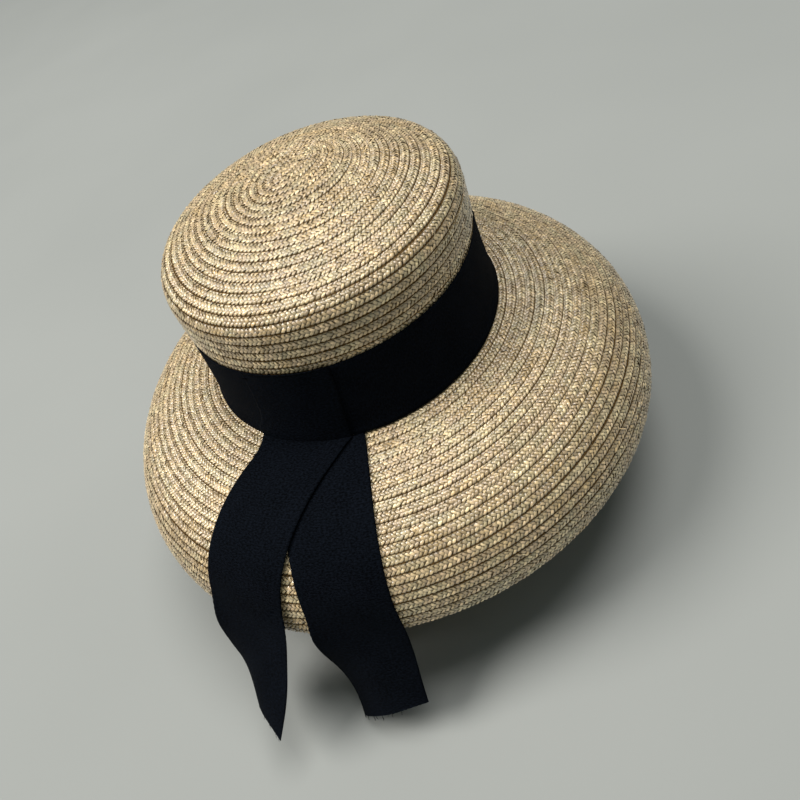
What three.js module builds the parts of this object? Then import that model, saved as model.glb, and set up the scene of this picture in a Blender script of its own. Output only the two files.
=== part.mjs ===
// A straw sun hat: a boater crown and a down-curved brim sewn from straw plait, with a wide ribbon
// round the crown whose two ends hang over the back of the brim.
//
// Millimetres, +Z up. +Y is the wearer's front and +X the wearer's right. The pieces are drawn from
// the centre of the head opening, level with the line where the crown meets the brim, and the last
// lines move the whole hat to stand on the frame's origin.
// Angles round the hat are counted from +X towards +Y, so the back of the hat is at 270 degrees.
import * as THREE from "three";
import { mergeVertices } from "three/addons/utils/BufferGeometryUtils.js";

// Driving dimensions
const BASE_RADIUS = 93; // mean radius over the ribbon, where the crown meets the brim
const HEAD_OVAL = 4.5; // the head opening is this much longer in radius in Y, and shorter in X
const STRAW = 1.7; // thickness of the sewn plait
const CLOTH = 0.8; // thickness of ribbon and sweatband
const GAP = 0.3; // clearance between neighbouring pieces

const CROWN_HEIGHT = 102.5;
const TIP_RADIUS = 82.8; // where the domed tip meets the rounded corner
const TIP_DOME = 19; // how far the tip falls from its centre to that place
const TIP_POWER = 2.2;
const CORNER = 15; // radius of the rounded corner between tip and wall
const WALL_RADIUS = 91; // at the top of the wall
const WALL_WAIST = 1.2; // how far the wall pulls in halfway up

const BRIM_LENGTH = 117; // along the straw, from crown to edge, at the sides of the hat
const BRIM_START = 8.5; // slope below level at the crown, degrees
const BRIM_END = 98; // slope at the edge: the last rows turn under
const BRIM_POWER = 1.68;
const FRONT_LONGER = 0.025; // share by which the brim is longer in front and shorter behind

const RIBBON = 48; // width
const RIBBON_BOTTOM = 0.8; // height of the band's lower edge
const PINCH = CLOTH + GAP; // how far the band presses the straw wall in
const WRAP_ANGLE = 250.5; // where the band's end is turned down over it, degrees
const WRAP_BOTTOM = 4.5;

const SWEATBAND_HEIGHT = 28;
const LABEL = { angle: 300, width: 32, height: 12, thickness: 0.5, bottom: 8 };
const CORD_RADIUS = 0.8;
const BEAD = { radius: 4, height: 8, bottom: 10, chamfer: 1 };
const WIRE_RADIUS = 0.7;
const WIRE_SHARE = 0.955; // where the wire lies, as a share of the brim's length
const THREAD_RADIUS = 0.25;
const STITCH_LENGTH = 3.2;

const AROUND = 48; // facets round the hat
const BRIM_STEPS = 200; // steps for adding up the brim's curve

const straw = { color: 0xc9ae7f, roughness: 0.55, metalness: 0 };
const ribbon = { color: 0x0b0d14, roughness: 0.85, metalness: 0 };
const cotton = { color: 0xd8ccb4, roughness: 0.9, metalness: 0 };
const blackThread = { color: 0x101118, roughness: 0.7, metalness: 0 };
const labelCloth = { color: 0xece7db, roughness: 0.8, metalness: 0 };
const beech = { color: 0xb98a54, roughness: 0.5, metalness: 0 };
const wireCover = { color: 0xbfa679, roughness: 0.8, metalness: 0 };
const steel = { color: 0x9b9c9a, roughness: 0.35, metalness: 1 };

const radians = THREE.MathUtils.degToRad;
const hat = new THREE.Group();

// Adds one closed piece: the mesh's vertices are merged, so that its surface is one skin.
function addPiece(name, geometry, material) {
  geometry.deleteAttribute("normal");
  geometry.deleteAttribute("uv");
  const closed = mergeVertices(geometry, 1e-4);
  closed.computeVertexNormals();
  const mesh = new THREE.Mesh(closed, new THREE.MeshStandardMaterial(material));
  mesh.name = name;
  hat.add(mesh);
}

// The oval grows with the radius up to the base of the crown, then stays.
function ovalAt(radius) {
  return HEAD_OVAL * Math.min(radius / BASE_RADIUS, 1);
}

// A point at a mean radius, an angle in radians and a height, on the oval plan of the hat.
function onOval(radius, angle, z) {
  const oval = ovalAt(radius);
  return new THREE.Vector3(
    (radius - oval) * Math.cos(angle),
    (radius + oval) * Math.sin(angle),
    z,
  );
}

// A ring or cap: a profile of (radius, height) points turned about Z and shaped to the oval plan.
function turned(profile, stretch = () => 1) {
  const lathe = new THREE.LatheGeometry(profile, AROUND).rotateX(Math.PI / 2);
  const place = lathe.attributes.position;
  const point = new THREE.Vector3();
  for (let i = 0; i < place.count; i++) {
    point.fromBufferAttribute(place, i);
    const angle = Math.atan2(point.y, point.x);
    const scale = stretch(angle);
    const radius = Math.hypot(point.x, point.y);
    const reach = scale === 1 ? radius : BASE_RADIUS + (radius - BASE_RADIUS) * scale;
    place.setXYZ(i, ...onOval(reach, angle, point.z * scale));
  }
  return lathe;
}

// The profile moved sideways by a distance, along the normal on its left.
function offsetProfile(profile, distance) {
  return profile.map((point, i) => {
    const before = profile[Math.max(i - 1, 0)];
    const after = profile[Math.min(i + 1, profile.length - 1)];
    const along = new THREE.Vector2().subVectors(after, before).normalize();
    const radius = i === 0 && point.x === 0 ? 0 : point.x - along.y * distance;
    return new THREE.Vector2(radius, point.y + along.x * distance);
  });
}

// A closed loop that goes out along one profile and back along another.
function loopOf(outer, inner) {
  return [...outer, ...[...inner].reverse(), outer[0].clone()];
}

// Crown

const tipEdgeSlope = Math.atan((TIP_POWER * TIP_DOME) / TIP_RADIUS);
const tipEdgeHeight = CROWN_HEIGHT - TIP_DOME;
const cornerHeight = tipEdgeHeight - CORNER * Math.cos(tipEdgeSlope);
const cornerCentre = TIP_RADIUS - CORNER * Math.sin(tipEdgeSlope);

// The wall's outer radius over the ribbon, at a height.
function wallRadius(z) {
  const down = 1 - z / cornerHeight;
  return (
    WALL_RADIUS + (BASE_RADIUS - WALL_RADIUS) * down - WALL_WAIST * Math.sin(Math.PI * down)
  );
}

// The straw's own radius: the band presses the wall in below its top edge.
function strawRadius(z) {
  const ribbonTop = RIBBON_BOTTOM + RIBBON;
  return wallRadius(z) - PINCH * (1 - THREE.MathUtils.smoothstep(z, ribbonTop - 1, ribbonTop + 3));
}

function crownProfile() {
  const tipPoints = 6;
  const ribbonTop = RIBBON_BOTTOM + RIBBON;
  const wallHeights = [60, ribbonTop + 4, ribbonTop + 1, ribbonTop - 3, RIBBON / 2, GAP];
  const profile = [];
  for (let i = 0; i < tipPoints; i++) {
    const share = i / tipPoints;
    profile.push(
      new THREE.Vector2(TIP_RADIUS * share, CROWN_HEIGHT - TIP_DOME * share ** TIP_POWER),
    );
  }
  const corner = new THREE.EllipseCurve(
    cornerCentre, cornerHeight, CORNER, CORNER, Math.PI / 2 - tipEdgeSlope, 0, true,
  );
  profile.push(...corner.getPoints(3));
  for (const z of wallHeights) {
    profile.push(new THREE.Vector2(strawRadius(z), z));
  }
  return profile;
}

function addCrown() {
  const outer = crownProfile();
  const inner = offsetProfile(outer, -STRAW);
  inner[inner.length - 1].y = GAP;
  const section = [...inner, ...outer.reverse()];
  addPiece("straw_crown", turned(section), straw);
}

// Brim

// How much longer the brim is than at the sides, by angle.
function brimStretch(angle) {
  return 1 + FRONT_LONGER * Math.sin(angle);
}

// The brim's slope below level at a share of its length, in radians.
function brimSlope(share) {
  return radians(BRIM_START + (BRIM_END - BRIM_START) * share ** BRIM_POWER);
}

// The brim's top surface at the sides of the hat, added up from its slope.
const brimCurve = [new THREE.Vector2(BASE_RADIUS, 0)];
for (let i = 0; i < BRIM_STEPS; i++) {
  const slope = brimSlope((i + 0.5) / BRIM_STEPS);
  const last = brimCurve[i];
  const step = BRIM_LENGTH / BRIM_STEPS;
  brimCurve.push(
    new THREE.Vector2(last.x + step * Math.cos(slope), last.y - step * Math.sin(slope)),
  );
}

// A point this far along the brim from the crown, at an angle, raised off the surface.
function onBrim(length, angle, raised) {
  const stretch = brimStretch(angle);
  const share = Math.min(length / (BRIM_LENGTH * stretch), 1);
  const at = share * BRIM_STEPS;
  const low = Math.min(Math.floor(at), BRIM_STEPS - 1);
  const point = new THREE.Vector2().lerpVectors(brimCurve[low], brimCurve[low + 1], at - low);
  const slope = brimSlope(share);
  const radius = BASE_RADIUS + (point.x - BASE_RADIUS) * stretch + raised * Math.sin(slope);
  return onOval(radius, angle, point.y * stretch + raised * Math.cos(slope));
}

// The straw's top surface starts under the crown wall and runs to the edge.
function brimProfile() {
  const rings = 11;
  const seat = new THREE.Vector2(BASE_RADIUS - PINCH - STRAW, 0);
  const points = [seat];
  for (let i = 0; i <= rings; i++) {
    points.push(brimCurve[Math.round((i * BRIM_STEPS) / rings)]);
  }
  return points;
}

function addBrim() {
  const top = brimProfile();
  const underside = offsetProfile(top, -STRAW);
  underside[0].x = top[0].x;
  addPiece("straw_brim", turned(loopOf(top, underside).reverse(), brimStretch), straw);
}

// A round wire lies under the last row of the brim and keeps its curve. Its ends meet in a short
// tube, so the wire runs deep enough for the tube to clear the straw.
const JOINER_BORE = WIRE_RADIUS + GAP;
const JOINER_RADIUS = JOINER_BORE + 0.4;

function wireCentre() {
  const point = brimCurve[Math.round(WIRE_SHARE * BRIM_STEPS)];
  const slope = brimSlope(WIRE_SHARE);
  const depth = STRAW + GAP + JOINER_RADIUS;
  return new THREE.Vector2(point.x - depth * Math.sin(slope), point.y - depth * Math.cos(slope));
}

function addBrimWire() {
  const centre = wireCentre();
  const circle = new THREE.EllipseCurve(centre.x, centre.y, WIRE_RADIUS, WIRE_RADIUS);
  const profile = circle.getPoints(6);
  profile.at(-1).copy(profile[0]);
  addPiece("brim_wire", turned(profile, brimStretch), wireCover);
}

// The tube that joins the wire's ends sits on one straight facet, at the wearer's left, and leaves
// a fifth of the facet free at each end.
function addWireJoiner() {
  const centre = wireCentre();
  const facet = (2 * Math.PI) / AROUND;
  const spare = 0.2;
  const corners = [Math.PI - facet, Math.PI].map((angle) => {
    const stretch = brimStretch(angle);
    const radius = BASE_RADIUS + (centre.x - BASE_RADIUS) * stretch;
    return onOval(radius, angle, centre.y * stretch);
  });
  const end = (share) => new THREE.Vector3().lerpVectors(...corners, share);
  const tube = new THREE.Shape().absarc(0, 0, JOINER_RADIUS, 0, 2 * Math.PI);
  tube.holes.push(new THREE.Path().absarc(0, 0, JOINER_BORE, 0, 2 * Math.PI));
  const geometry = new THREE.ExtrudeGeometry(tube, {
    curveSegments: 6, steps: 1, extrudePath: new THREE.LineCurve3(end(spare), end(1 - spare)),
  });
  addPiece("wire_joiner", geometry, steel);
}

// Ribbon

// A ring of cloth between two heights, with its inner face at a radius that depends on height.
function clothRing(innerRadius, bottom, top) {
  const heights = [bottom, bottom + (top - bottom) / 3, bottom + ((top - bottom) * 2) / 3, top];
  const inner = heights.map((z) => new THREE.Vector2(innerRadius(z), z));
  const outer = heights.map((z) => new THREE.Vector2(innerRadius(z) + CLOTH, z));
  return turned(loopOf(outer, inner));
}

function addHatBand() {
  const top = RIBBON_BOTTOM + RIBBON - 1;
  const innerRadius = (z) => wallRadius(z) - CLOTH;
  addPiece("hat_band", clothRing(innerRadius, RIBBON_BOTTOM, top), ribbon);
}

// A strip of cloth: surface(across, along) gives its underside, and the cloth lies on the side of
// the surface's normal. starts and ends give its limits along for each place across.
function strip(surface, width, starts, ends, thickness, alongSteps) {
  const box = new THREE.BoxGeometry(1, 1, 1, 4, alongSteps, 1);
  const place = box.attributes.position;
  const small = 0.01;
  for (let i = 0; i < place.count; i++) {
    const across = place.getX(i) * width;
    const along = THREE.MathUtils.lerp(starts(across), ends(across), place.getY(i) + 0.5);
    const here = surface(across, along);
    const right = surface(across + small, along).sub(here);
    const onward = surface(across, along + small).sub(here);
    const normal = right.cross(onward).normalize();
    place.setXYZ(i, ...here.addScaledVector(normal, (place.getZ(i) + 0.5) * thickness));
  }
  return box;
}

// The band's end is turned down over the band, and its lower part becomes the left tail.
function addBandWrap() {
  const top = RIBBON_BOTTOM + RIBBON - 0.5;
  const surface = (across, along) => {
    const z = top - along;
    const radius = wallRadius(z) + GAP;
    return onOval(radius, radians(WRAP_ANGLE) - across / radius, z);
  };
  const geometry = strip(surface, RIBBON, () => 0, () => top - WRAP_BOTTOM, CLOTH, 6);
  addPiece("band_wrap", geometry, ribbon);
}

// A tail lies on the brim as far as leaves, then hangs. Its middle drifts round the brim from
// angle + drift to angle. The hanging part starts tilt away from straight down, bends outward by
// curl, slants sideways by sweep, and twists by twist below its fold at bend.
const leftTail = {
  angle: 239, drift: 13, driftLength: 35, raised: 2.2, start: 3.5,
  leaves: 100, bend: 111, leftEnd: 175, rightEnd: 165, tilt: 26, curl: 4, sweep: 13, twist: 35,
};
const rightTail = {
  angle: 262.2, drift: -3.7, driftLength: 25, raised: 0.6, start: 2.8,
  leaves: 103, bend: 111, leftEnd: 172, rightEnd: 163, tilt: 8, curl: 20, sweep: 4, twist: 18,
};

// A place on a tail: across from its middle, counted to the left as seen from behind the hat,
// and along from the crown.
function tailSurface(tail) {
  return (across, along) => {
    const onBrimLength = Math.min(along, tail.leaves);
    const middle = radians(
      tail.angle + tail.drift * Math.exp(-onBrimLength / tail.driftLength),
    );
    const base = onBrim(onBrimLength, middle, tail.raised);
    const radius = Math.hypot(base.x, base.y);
    if (along <= tail.leaves) {
      return onBrim(onBrimLength, middle - across / radius, tail.raised);
    }
    const out = new THREE.Vector3(Math.cos(middle), Math.sin(middle), 0);
    const side = new THREE.Vector3(out.y, -out.x, 0);
    const down = new THREE.Vector3(0, 0, -1);
    const length = along - tail.leaves;
    const fullLength = (tail.leftEnd + tail.rightEnd) / 2 - tail.leaves;
    const bending = radians(tail.curl) / fullLength;
    const first = radians(tail.tilt);
    const last = first + bending * length;
    const sweep = radians(tail.sweep);
    const outward = (Math.cos(first) - Math.cos(last)) / bending;
    const downward = (Math.sin(last) - Math.sin(first)) / bending;
    base.addScaledVector(out, outward * Math.cos(sweep));
    base.addScaledVector(down, downward * Math.cos(sweep));
    base.addScaledVector(side, -length * Math.sin(sweep));
    const heading = new THREE.Vector3()
      .addScaledVector(down, Math.cos(last) * Math.cos(sweep))
      .addScaledVector(out, Math.sin(last) * Math.cos(sweep))
      .addScaledVector(side, -Math.sin(sweep));
    const twisted = Math.max(along - tail.bend, 0) / fullLength;
    const level = side.addScaledVector(heading, -side.dot(heading)).normalize();
    level.applyAxisAngle(heading, radians(tail.twist) * twisted);
    return base.addScaledVector(level, across);
  };
}

// A straight line across the tail, square to its middle, although the brim's rows curve.
function straightAcross(length, radius) {
  return (across) => length + across ** 2 / (2 * radius);
}

const CUT_GAP = 1.2; // between two stretches of one tail, along it
const HELD = 61.5; // the right tail lies under the left one this far from the crown

function addLeftTail() {
  const surface = tailSurface(leftTail);
  const start = straightAcross(leftTail.start, BASE_RADIUS + leftTail.start);
  const lying = strip(surface, RIBBON, start, () => leftTail.bend - CUT_GAP, CLOTH, 14);
  addPiece("tail_left", lying, ribbon);
  addPiece("tail_left_end", tailEnd(leftTail), ribbon);
}

function addRightTail() {
  const surface = tailSurface(rightTail);
  const start = straightAcross(rightTail.start, BASE_RADIUS + rightTail.start);
  const comesFree = onBrim(HELD, radians(rightTail.angle), rightTail.raised);
  const radius = Math.hypot(comesFree.x, comesFree.y);
  const heldEnd = straightAcross(HELD - CUT_GAP, radius);
  const freeStart = straightAcross(HELD, radius);
  const held = strip(surface, RIBBON, start, heldEnd, CLOTH, 8);
  const free = strip(surface, RIBBON, freeStart, () => rightTail.bend - CUT_GAP, CLOTH, 7);
  addPiece("tail_right_root", held, ribbon);
  addPiece("tail_right", free, ribbon);
  addPiece("tail_right_end", tailEnd(rightTail), ribbon);
}

// The hanging end, cut on a slant.
function tailEnd(tail) {
  const ends = (across) =>
    THREE.MathUtils.lerp(tail.rightEnd, tail.leftEnd, across / RIBBON + 0.5);
  return strip(tailSurface(tail), RIBBON, () => tail.bend, ends, CLOTH, 7);
}

// Inside the crown

// The face of the straw towards the head.
function insideRadius(z) {
  return wallRadius(z) - PINCH - STRAW;
}

function addSweatband() {
  const innerRadius = (z) => insideRadius(z) - GAP - CLOTH;
  addPiece("sweatband", clothRing(innerRadius, 0.5, SWEATBAND_HEIGHT), cotton);
}

// A blank woven label on the sweatband, beside the back.
function addLabel() {
  const surface = (across, along) => {
    const z = LABEL.bottom + along;
    const radius = insideRadius(z) - 2 * GAP - CLOTH;
    return onOval(radius, radians(LABEL.angle) - across / radius, z);
  };
  const patch = strip(surface, LABEL.width, () => 0, () => LABEL.height, LABEL.thickness, 2);
  addPiece("blank_label", patch, labelCloth);
}

// The drawcord runs round the top of the sweatband. Its two ends come out at the back, hang side
// by side inside the hat, and pass through a bead that holds them together.
const CORD_HEIGHT = SWEATBAND_HEIGHT + 1.8;
const CORD_SPREAD = 1.1; // half the distance between the hanging ends
const CORD_OPENING = radians(7); // half the angle between the places where they turn down
const CORD_END_HEIGHT = 3;
const ENDS_Y = -86.6; // behind the head, clear of the sweatband by the bead's radius

function cordPath() {
  const radius = insideRadius(CORD_HEIGHT) - GAP - 1.5 * CORD_RADIUS;
  const hanging = [CORD_END_HEIGHT, BEAD.bottom + BEAD.height / 2, SWEATBAND_HEIGHT - 4].map(
    (z) => new THREE.Vector3(CORD_SPREAD, ENDS_Y, z),
  );
  hanging.push(new THREE.Vector3(CORD_SPREAD + 1, ENDS_Y - 1, SWEATBAND_HEIGHT));
  const points = [...hanging];
  const ringPoints = 24;
  for (let i = 0; i <= ringPoints; i++) {
    const turn = (2 * Math.PI - 2 * CORD_OPENING) * (i / ringPoints);
    points.push(onOval(radius, CORD_OPENING - Math.PI / 2 + turn, CORD_HEIGHT));
  }
  for (const point of hanging.reverse()) {
    points.push(new THREE.Vector3(-point.x, point.y, point.z));
  }
  return new THREE.CatmullRomCurve3(points, false, "centripetal");
}

function addDrawcord() {
  const section = new THREE.Shape().absarc(0, 0, CORD_RADIUS, 0, 2 * Math.PI);
  const geometry = new THREE.ExtrudeGeometry(section, {
    curveSegments: 3, steps: 84, extrudePath: cordPath(),
  });
  addPiece("size_cord", geometry, cotton);
}

function addBead() {
  const hole = CORD_SPREAD + CORD_RADIUS + GAP;
  const { radius, height, chamfer } = BEAD;
  const profile = [
    new THREE.Vector2(hole, 0),
    new THREE.Vector2(radius - chamfer, 0),
    new THREE.Vector2(radius, 2 * chamfer),
    new THREE.Vector2(radius, height - 2 * chamfer),
    new THREE.Vector2(radius - chamfer, height),
    new THREE.Vector2(hole, height),
    new THREE.Vector2(hole, 0),
  ];
  const bead = new THREE.LatheGeometry(profile, 16).rotateX(Math.PI / 2);
  addPiece("cord_bead", bead.translate(0, ENDS_Y, BEAD.bottom), beech);
}

// Thread

// A short stitch lying on the ribbon, level, at an angle and a height.
function addStitch(name, degrees, z, raised) {
  const middle = radians(degrees);
  const stitch = new THREE.CapsuleGeometry(THREAD_RADIUS, STITCH_LENGTH, 2, 6);
  stitch.rotateZ(middle + Math.PI);
  const place = onOval(wallRadius(z) + raised + GAP + 1.4 * THREAD_RADIUS, middle, z);
  addPiece(name, stitch.translate(place.x, place.y, place.z), blackThread);
}

function addStitches() {
  const nearTop = RIBBON_BOTTOM + RIBBON - 3;
  [0, 90, 180, 305].forEach((degrees, i) => {
    addStitch("band_stitch_" + (i + 1), degrees, nearTop, 0);
  });
  [239.5, 261.5].forEach((degrees, i) => {
    addStitch("wrap_stitch_" + (i + 1), degrees, nearTop - 1, GAP + CLOTH);
  });
}

addCrown();
addBrim();
addBrimWire();
addWireJoiner();
addHatBand();
addBandWrap();
addLeftTail();
addRightTail();
addSweatband();
addLabel();
addDrawcord();
addBead();
addStitches();

// The frame's origin is the middle of the hat's bounding box, at its bottom.
const bounds = new THREE.Box3().setFromObject(hat);
const middle = bounds.getCenter(new THREE.Vector3());
hat.position.set(-middle.x, -middle.y, -bounds.min.z);

export default hat;
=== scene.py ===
"""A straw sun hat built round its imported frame: sewn straw plait, ribbon, sweatband and brim wire.

Shapes are worked out in millimetres from the centre of the head opening, level with the line where
the crown meets the brim. +Z is up, +Y the wearer's front and +X the wearer's right; angles count
from +X towards +Y. make_piece() moves them to the frame's own origin, in metres.
"""

import math

import bpy
import numpy as np
from mathutils import Matrix, Vector


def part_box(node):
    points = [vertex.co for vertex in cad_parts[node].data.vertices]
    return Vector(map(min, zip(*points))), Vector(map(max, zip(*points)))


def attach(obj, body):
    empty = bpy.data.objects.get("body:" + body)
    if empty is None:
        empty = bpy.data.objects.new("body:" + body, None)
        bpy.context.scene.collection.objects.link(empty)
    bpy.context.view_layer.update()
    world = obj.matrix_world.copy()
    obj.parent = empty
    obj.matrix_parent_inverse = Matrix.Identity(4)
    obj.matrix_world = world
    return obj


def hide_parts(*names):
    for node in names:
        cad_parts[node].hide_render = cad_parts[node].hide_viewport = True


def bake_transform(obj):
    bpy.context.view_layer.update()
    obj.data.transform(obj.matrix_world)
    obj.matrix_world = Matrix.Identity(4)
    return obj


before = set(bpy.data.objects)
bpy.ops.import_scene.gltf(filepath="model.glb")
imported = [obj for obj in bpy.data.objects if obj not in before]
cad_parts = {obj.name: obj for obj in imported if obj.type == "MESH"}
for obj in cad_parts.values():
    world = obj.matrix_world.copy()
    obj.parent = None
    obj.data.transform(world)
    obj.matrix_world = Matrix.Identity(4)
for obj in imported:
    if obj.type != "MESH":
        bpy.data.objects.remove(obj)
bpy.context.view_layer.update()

# ---- Dimensions of the frame, in millimetres and degrees ----

BASE_RADIUS = 93.0  # mean radius over the ribbon, where the crown meets the brim
HEAD_OVAL = 4.5  # the head opening's radius is this much longer in Y, and shorter in X
STRAW = 1.7  # thickness of the sewn plait
CLOTH = 0.8  # thickness of ribbon and sweatband in the frame
GAP = 0.3  # clearance between neighbouring pieces

CROWN_HEIGHT = 102.5
TIP_RADIUS = 82.8  # where the domed tip meets the rounded corner
TIP_DOME = 19.0  # how far the tip falls from its centre to that place
TIP_POWER = 2.2
CORNER = 15.0  # radius of the rounded corner between tip and wall
WALL_RADIUS = 91.0  # at the top of the wall
WALL_WAIST = 1.2  # how far the wall pulls in halfway up

BRIM_LENGTH = 117.0  # along the straw, from crown to edge
BRIM_START = 8.5  # slope below level at the crown
BRIM_END = 98.0  # slope at the edge
BRIM_POWER = 1.68
FRONT_LONGER = 0.025  # share by which the brim is longer in front and shorter behind

RIBBON = 48.0  # width
RIBBON_BOTTOM = 0.8  # height of the band's lower edge
RIBBON_TOP = RIBBON_BOTTOM + RIBBON
PINCH = CLOTH + GAP  # how far the band presses the straw wall in
WRAP_ANGLE = 250.5  # where the band's end is turned down over it
HELD = 61.5  # the right tail lies under the left one this far from the crown
CUT_GAP = 1.2  # between two stretches of one tail in the frame, with a hinge in the middle

SWEATBAND_HEIGHT = 28.0
LABEL = dict(angle=300, width=32.0, height=12.0, bottom=8.0)
WIRE_SHARE = 0.955  # where the wire lies, as a share of the brim's length
WIRE_RADIUS = 0.7
ENDS_Y = -86.6  # the drawcord's two ends hang here
CORD_SPREAD = 1.1  # and this far to each side of the middle
BEAD = dict(radius=4.0, height=8.0, bottom=10.0, edge=1.1)

# A tail lies on the brim at an angle that drifts by some degrees near the crown, raised over the
# straw. It leaves the brim at one length, swings from another (bend) and is cut off slanting from
# left_end to right_end, all counted from the crown. The part that hangs is tilted outwards, curls
# back, sweeps sideways and twists, each in degrees.
LEFT_TAIL = dict(
    angle=238.3, drift=13.8, drift_length=35, raised=2.2, start=3.5, leaves=100, bend=111,
    left_end=153, right_end=162, tilt=29, curl=1.7, sweep=6, twist=45,
)
RIGHT_TAIL = dict(
    angle=262.1, drift=-3.9, drift_length=25, raised=0.6, leaves=103, bend=111,
    left_end=171, right_end=156, tilt=8.6, curl=28, sweep=0.8, twist=24,
)

# ---- The plait ----

ROW = 5.4  # distance from row to row
PLAIT = 6.7  # width of the plait, of which a part is hidden under the next row inwards
CELL = 2.45  # distance along the plait from one straw to the next that slants the same way
STRAW_WIDTH = CELL / math.sqrt(2)
STRAW_FILL = 0.94  # share of that width a straw fills on average
ZONE = 2.05  # distance across the plait between straws that slant opposite ways
ZONES = (-1, 0, 1)
FOLD = 3.1  # distance from the plait's middle to where its straws turn back
WANDER = 0.16  # how far the sewing strays from an even spiral
ROLL = 0.34  # how far the plait's edges round off
LAP = PLAIT - ROW  # how much of a row its neighbour covers
ROW_LOW = -0.9  # height of a row's inner edge, tucked under its neighbour
ROW_HIGH = -0.15  # height of its outer edge, which lies on its neighbour
SEAM_SHADOW_WIDENING = 0.5  # how much wider the painted seam shadow is where the surface is steep
STRAW_OVERLAP = 1.14  # how far a straw reaches past its own zone, to dip under its neighbours
ARCH = 0.52  # how high a straw rises between its two ends
ROUND_BACK = 0.24  # and how much it is rounded across
# Standard deviations of one straw from the next
UNEVEN = dict(width=0.07, turn=0.11, along=0.15, out=0.11, tip=0.23, height=0.08)
TINT_LENGTH = 7.0  # straws of one tint lie together for about this far along the plait
BUNDLE_LENGTH = 70.0  # the straw lightens and darkens over about this far
BRIM_PLAIT_START = math.radians(262)
CROWN_STEEP, BRIM_STEEP = 14, 11  # turns from which the surface is steep
TIP_TURNS = 15.0  # turns of the crown's plait in its first piece
BRIM_CUTS = (0.28, 0.54, 0.78, 1.0)  # ends of the brim's four pieces, as shares of its turns
CROWN_LOOSE_ENDS, BRIM_LOOSE_ENDS = 120, 240
TAILS_FROM, TAILS_TO = 205, 290  # degrees round the hat covered by the tails
START_ANGLE = math.radians(52)  # the plait starts in the tip as a short straight fold this way
START_HALF = 9.0  # half the length by which the fold draws out the first turns
START_REACH = 11.6  # from the fold's middle to its end
START_MIDDLE = (2.0, 5.0)
START_FADE = 30.0  # the turns are round from about this far out
FIRST_HIDDEN = 38.0  # the ribbon hides the crown wall's outside from below this height
LAST_ROW = 24.0  # and the sweatband hides its inside

rng = np.random.default_rng(7)

# Centre of the head opening in the frame, from the crown's own box
_low, _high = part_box("straw_crown")
OPENING = np.array([(_low.x + _high.x) / 2, (_low.y + _high.y) / 2, _low.z - GAP / 1000])


# ---- Shape of the hat ----

def smoothstep(x, low, high):
    t = np.clip((np.asarray(x, float) - low) / (high - low), 0, 1)
    return t * t * (3 - 2 * t)


def unit(vectors):
    return vectors / np.linalg.norm(vectors, axis=-1, keepdims=True)


TIP_SLOPE = math.atan(TIP_POWER * TIP_DOME / TIP_RADIUS)
CORNER_HEIGHT = CROWN_HEIGHT - TIP_DOME - CORNER * math.cos(TIP_SLOPE)
CORNER_CENTRE = TIP_RADIUS - CORNER * math.sin(TIP_SLOPE)


def wall_radius(z):
    """Outer radius of the crown wall over the ribbon."""
    down = 1 - np.asarray(z, float) / CORNER_HEIGHT
    return WALL_RADIUS + (BASE_RADIUS - WALL_RADIUS) * down - WALL_WAIST * np.sin(np.pi * down)


def straw_radius(z):
    """The straw's own radius: the band presses the wall in below its top edge."""
    return wall_radius(z) - PINCH * (1 - smoothstep(z, RIBBON_TOP - 1, RIBBON_TOP + 3))


TIP_STEPS = 400


class Meridian:
    """A line from the axis outwards, read by its length: radius, height and outward normal."""

    def __init__(self, radius, height):
        step = np.hypot(np.diff(radius), np.diff(height))
        keep = np.concatenate([[True], step > 1e-9])
        self.radius, self.height = radius[keep], height[keep]
        step = np.hypot(np.diff(self.radius), np.diff(self.height))
        self.length = np.concatenate([[0], np.cumsum(step)])
        along_r = np.gradient(self.radius, self.length)
        along_z = np.gradient(self.height, self.length)
        size = np.hypot(along_r, along_z)
        self.normal_r, self.normal_z = -along_z / size, along_r / size

    def at(self, length):
        return [np.interp(length, self.length, a)
                for a in (self.radius, self.height, self.normal_r, self.normal_z)]


def crown_meridian():
    share = np.linspace(0, 1, TIP_STEPS)
    turn = np.linspace(math.pi / 2 - TIP_SLOPE, 0, 60)
    wall = np.linspace(CORNER_HEIGHT, 0, 280)
    radius = [TIP_RADIUS * share, CORNER_CENTRE + CORNER * np.cos(turn), straw_radius(wall)]
    height = [
        CROWN_HEIGHT - TIP_DOME * share**TIP_POWER, CORNER_HEIGHT + CORNER * np.sin(turn), wall,
    ]
    return Meridian(np.concatenate(radius), np.concatenate(height))


def brim_slope(share):
    return np.radians(BRIM_START + (BRIM_END - BRIM_START) * np.asarray(share) ** BRIM_POWER)


def brim_meridian():
    steps = 800
    slope = brim_slope((np.arange(steps) + 0.5) / steps)
    run = BRIM_LENGTH / steps
    radius = BASE_RADIUS + np.concatenate([[0], np.cumsum(np.cos(slope) * run)])
    height = -np.concatenate([[0], np.cumsum(np.sin(slope) * run)])
    return Meridian(radius, height)


CROWN = crown_meridian()
BRIM = brim_meridian()
TIP_LENGTH = float(CROWN.length[TIP_STEPS - 1])


def on_oval(radius, angle, z):
    oval = HEAD_OVAL * np.minimum(radius / BASE_RADIUS, 1)
    x, y = (radius - oval) * np.cos(angle), (radius + oval) * np.sin(angle)
    return np.stack(np.broadcast_arrays(x, y, z), -1)


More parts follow.
